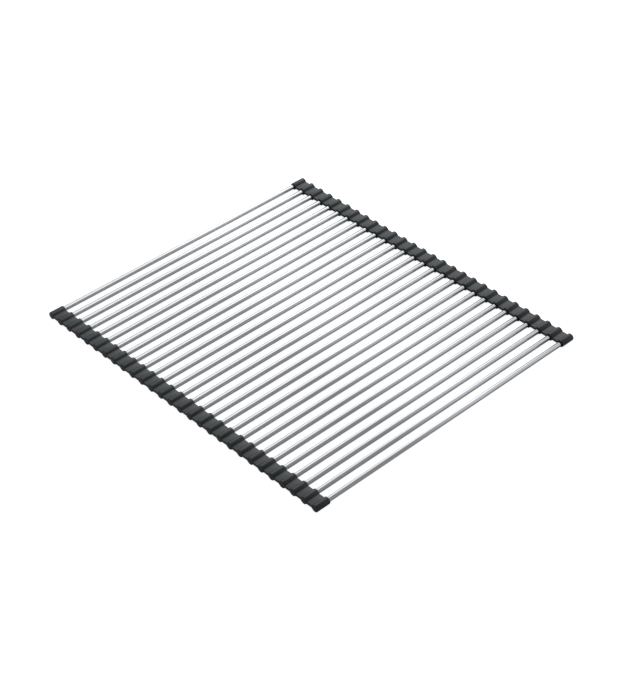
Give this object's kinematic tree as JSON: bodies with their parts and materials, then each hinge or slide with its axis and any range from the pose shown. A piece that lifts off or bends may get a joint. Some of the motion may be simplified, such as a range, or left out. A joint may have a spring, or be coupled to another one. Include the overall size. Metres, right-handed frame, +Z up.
{
  "type": "roll up dish drying rack",
  "caption": "Flat drying rack that rolls up: parallel round metal tubes, with their ends held in ribbed flexible side strips that bend between the tubes.",
  "frame": {"origin": "centre of the rack's underside, on the surface that it lies on", "axes": "+X along the strips, from the first tube to the last; +Y along the tubes, from the near strip to the far one; +Z up"},
  "size_m": [0.4518, 0.402, 0.009],
  "materials": {
    "stainless_tube": "polished bright stainless",
    "silicone_strip": "satin charcoal silicone"
  },
  "bodies": {
    "slat_01": {"tube_01": "stainless_tube", "near_strip_01": "silicone_strip", "far_strip_01": "silicone_strip"},
    "slat_02": {"tube_02": "stainless_tube"},
    "slat_03": {"tube_03": "stainless_tube", "near_strip_02": "silicone_strip", "far_strip_02": "silicone_strip"},
    "slat_04": {"tube_04": "stainless_tube"},
    "slat_05": {"tube_05": "stainless_tube", "near_strip_03": "silicone_strip", "far_strip_03": "silicone_strip"},
    "slat_06": {"tube_06": "stainless_tube"},
    "slat_07": {"tube_07": "stainless_tube", "near_strip_04": "silicone_strip", "far_strip_04": "silicone_strip"},
    "slat_08": {"tube_08": "stainless_tube"},
    "slat_09": {"tube_09": "stainless_tube", "near_strip_05": "silicone_strip", "far_strip_05": "silicone_strip"},
    "slat_10": {"tube_10": "stainless_tube"},
    "slat_11": {"tube_11": "stainless_tube", "near_strip_06": "silicone_strip", "far_strip_06": "silicone_strip"},
    "slat_12": {"tube_12": "stainless_tube"},
    "slat_13": {"tube_13": "stainless_tube", "near_strip_07": "silicone_strip", "far_strip_07": "silicone_strip"},
    "slat_14": {"tube_14": "stainless_tube"},
    "slat_15": {"tube_15": "stainless_tube", "near_strip_08": "silicone_strip", "far_strip_08": "silicone_strip"},
    "slat_16": {"tube_16": "stainless_tube"},
    "slat_17": {"tube_17": "stainless_tube", "near_strip_09": "silicone_strip", "far_strip_09": "silicone_strip"},
    "slat_18": {"tube_18": "stainless_tube"},
    "slat_19": {"tube_19": "stainless_tube", "near_strip_10": "silicone_strip", "far_strip_10": "silicone_strip"},
    "slat_20": {"tube_20": "stainless_tube"},
    "slat_21": {"tube_21": "stainless_tube", "near_strip_11": "silicone_strip", "far_strip_11": "silicone_strip"},
    "slat_22": {"tube_22": "stainless_tube"},
    "slat_23": {"tube_23": "stainless_tube", "near_strip_12": "silicone_strip", "far_strip_12": "silicone_strip"},
    "slat_24": {"tube_24": "stainless_tube"},
    "slat_25": {"tube_25": "stainless_tube", "near_strip_13": "silicone_strip", "far_strip_13": "silicone_strip"},
    "slat_26": {"tube_26": "stainless_tube"},
    "slat_27": {"tube_27": "stainless_tube", "near_strip_14": "silicone_strip", "far_strip_14": "silicone_strip"},
    "slat_28": {"tube_28": "stainless_tube"}
  },
  "joints": [
    {"name": "web_01", "type": "hinge", "parent": "slat_01", "child": "slat_02", "pos_m": [-0.2132, 0, 0.0041], "axis": [0, -1, 0], "range_deg": [0, 23.2], "deforming": ["near_strip_01", "far_strip_01"]},
    {"name": "web_02", "type": "hinge", "parent": "slat_02", "child": "slat_03", "pos_m": [-0.1968, 0, 0.0041], "axis": [0, -1, 0], "range_deg": [0, 23.6], "deforming": ["near_strip_01", "far_strip_01", "near_strip_02", "far_strip_02"]},
    {"name": "web_03", "type": "hinge", "parent": "slat_03", "child": "slat_04", "pos_m": [-0.1804, 0, 0.0041], "axis": [0, -1, 0], "range_deg": [0, 24], "deforming": ["near_strip_02", "far_strip_02"]},
    {"name": "web_04", "type": "hinge", "parent": "slat_04", "child": "slat_05", "pos_m": [-0.164, 0, 0.0041], "axis": [0, -1, 0], "range_deg": [0, 24.4], "deforming": ["near_strip_02", "far_strip_02", "near_strip_03", "far_strip_03"]},
    {"name": "web_05", "type": "hinge", "parent": "slat_05", "child": "slat_06", "pos_m": [-0.1476, 0, 0.0041], "axis": [0, -1, 0], "range_deg": [0, 24.8], "deforming": ["near_strip_03", "far_strip_03"]},
    {"name": "web_06", "type": "hinge", "parent": "slat_06", "child": "slat_07", "pos_m": [-0.1312, 0, 0.0041], "axis": [0, -1, 0], "range_deg": [0, 25.3], "deforming": ["near_strip_03", "far_strip_03", "near_strip_04", "far_strip_04"]},
    {"name": "web_07", "type": "hinge", "parent": "slat_07", "child": "slat_08", "pos_m": [-0.1148, 0, 0.0041], "axis": [0, -1, 0], "range_deg": [0, 25.8], "deforming": ["near_strip_04", "far_strip_04"]},
    {"name": "web_08", "type": "hinge", "parent": "slat_08", "child": "slat_09", "pos_m": [-0.0984, 0, 0.0041], "axis": [0, -1, 0], "range_deg": [0, 26.3], "deforming": ["near_strip_04", "far_strip_04", "near_strip_05", "far_strip_05"]},
    {"name": "web_09", "type": "hinge", "parent": "slat_09", "child": "slat_10", "pos_m": [-0.082, 0, 0.0041], "axis": [0, -1, 0], "range_deg": [0, 26.9], "deforming": ["near_strip_05", "far_strip_05"]},
    {"name": "web_10", "type": "hinge", "parent": "slat_10", "child": "slat_11", "pos_m": [-0.0656, 0, 0.0041], "axis": [0, -1, 0], "range_deg": [0, 27.5], "deforming": ["near_strip_05", "far_strip_05", "near_strip_06", "far_strip_06"]},
    {"name": "web_11", "type": "hinge", "parent": "slat_11", "child": "slat_12", "pos_m": [-0.0492, 0, 0.0041], "axis": [0, -1, 0], "range_deg": [0, 28.1], "deforming": ["near_strip_06", "far_strip_06"]},
    {"name": "web_12", "type": "hinge", "parent": "slat_12", "child": "slat_13", "pos_m": [-0.0328, 0, 0.0041], "axis": [0, -1, 0], "range_deg": [0, 28.8], "deforming": ["near_strip_06", "far_strip_06", "near_strip_07", "far_strip_07"]},
    {"name": "web_13", "type": "hinge", "parent": "slat_13", "child": "slat_14", "pos_m": [-0.0164, 0, 0.0041], "axis": [0, -1, 0], "range_deg": [0, 29.5], "deforming": ["near_strip_07", "far_strip_07"]},
    {"name": "web_14", "type": "hinge", "parent": "slat_14", "child": "slat_15", "pos_m": [0, 0, 0.0041], "axis": [0, -1, 0], "range_deg": [0, 30.3], "deforming": ["near_strip_07", "far_strip_07", "near_strip_08", "far_strip_08"]},
    {"name": "web_15", "type": "hinge", "parent": "slat_15", "child": "slat_16", "pos_m": [0.0164, 0, 0.0041], "axis": [0, -1, 0], "range_deg": [0, 31.2], "deforming": ["near_strip_08", "far_strip_08"]},
    {"name": "web_16", "type": "hinge", "parent": "slat_16", "child": "slat_17", "pos_m": [0.0328, 0, 0.0041], "axis": [0, -1, 0], "range_deg": [0, 32.1], "deforming": ["near_strip_08", "far_strip_08", "near_strip_09", "far_strip_09"]},
    {"name": "web_17", "type": "hinge", "parent": "slat_17", "child": "slat_18", "pos_m": [0.0492, 0, 0.0041], "axis": [0, -1, 0], "range_deg": [0, 33.1], "deforming": ["near_strip_09", "far_strip_09"]},
    {"name": "web_18", "type": "hinge", "parent": "slat_18", "child": "slat_19", "pos_m": [0.0656, 0, 0.0041], "axis": [0, -1, 0], "range_deg": [0, 34.3], "deforming": ["near_strip_09", "far_strip_09", "near_strip_10", "far_strip_10"]},
    {"name": "web_19", "type": "hinge", "parent": "slat_19", "child": "slat_20", "pos_m": [0.082, 0, 0.0041], "axis": [0, -1, 0], "range_deg": [0, 35.5], "deforming": ["near_strip_10", "far_strip_10"]},
    {"name": "web_20", "type": "hinge", "parent": "slat_20", "child": "slat_21", "pos_m": [0.0984, 0, 0.0041], "axis": [0, -1, 0], "range_deg": [0, 36.9], "deforming": ["near_strip_10", "far_strip_10", "near_strip_11", "far_strip_11"]},
    {"name": "web_21", "type": "hinge", "parent": "slat_21", "child": "slat_22", "pos_m": [0.1148, 0, 0.0041], "axis": [0, -1, 0], "range_deg": [0, 38.5], "deforming": ["near_strip_11", "far_strip_11"]},
    {"name": "web_22", "type": "hinge", "parent": "slat_22", "child": "slat_23", "pos_m": [0.1312, 0, 0.0041], "axis": [0, -1, 0], "range_deg": [0, 40.3], "deforming": ["near_strip_11", "far_strip_11", "near_strip_12", "far_strip_12"]},
    {"name": "web_23", "type": "hinge", "parent": "slat_23", "child": "slat_24", "pos_m": [0.1476, 0, 0.0041], "axis": [0, -1, 0], "range_deg": [0, 42.4], "deforming": ["near_strip_12", "far_strip_12"]},
    {"name": "web_24", "type": "hinge", "parent": "slat_24", "child": "slat_25", "pos_m": [0.164, 0, 0.0041], "axis": [0, -1, 0], "range_deg": [0, 44.9], "deforming": ["near_strip_12", "far_strip_12", "near_strip_13", "far_strip_13"]},
    {"name": "web_25", "type": "hinge", "parent": "slat_25", "child": "slat_26", "pos_m": [0.1804, 0, 0.0041], "axis": [0, -1, 0], "range_deg": [0, 47.8], "deforming": ["near_strip_13", "far_strip_13"]},
    {"name": "web_26", "type": "hinge", "parent": "slat_26", "child": "slat_27", "pos_m": [0.1968, 0, 0.0041], "axis": [0, -1, 0], "range_deg": [0, 51.4], "deforming": ["near_strip_13", "far_strip_13", "near_strip_14", "far_strip_14"]},
    {"name": "web_27", "type": "hinge", "parent": "slat_27", "child": "slat_28", "pos_m": [0.2132, 0, 0.0041], "axis": [0, -1, 0], "range_deg": [0, 56], "deforming": ["near_strip_14", "far_strip_14"]}
  ]
}
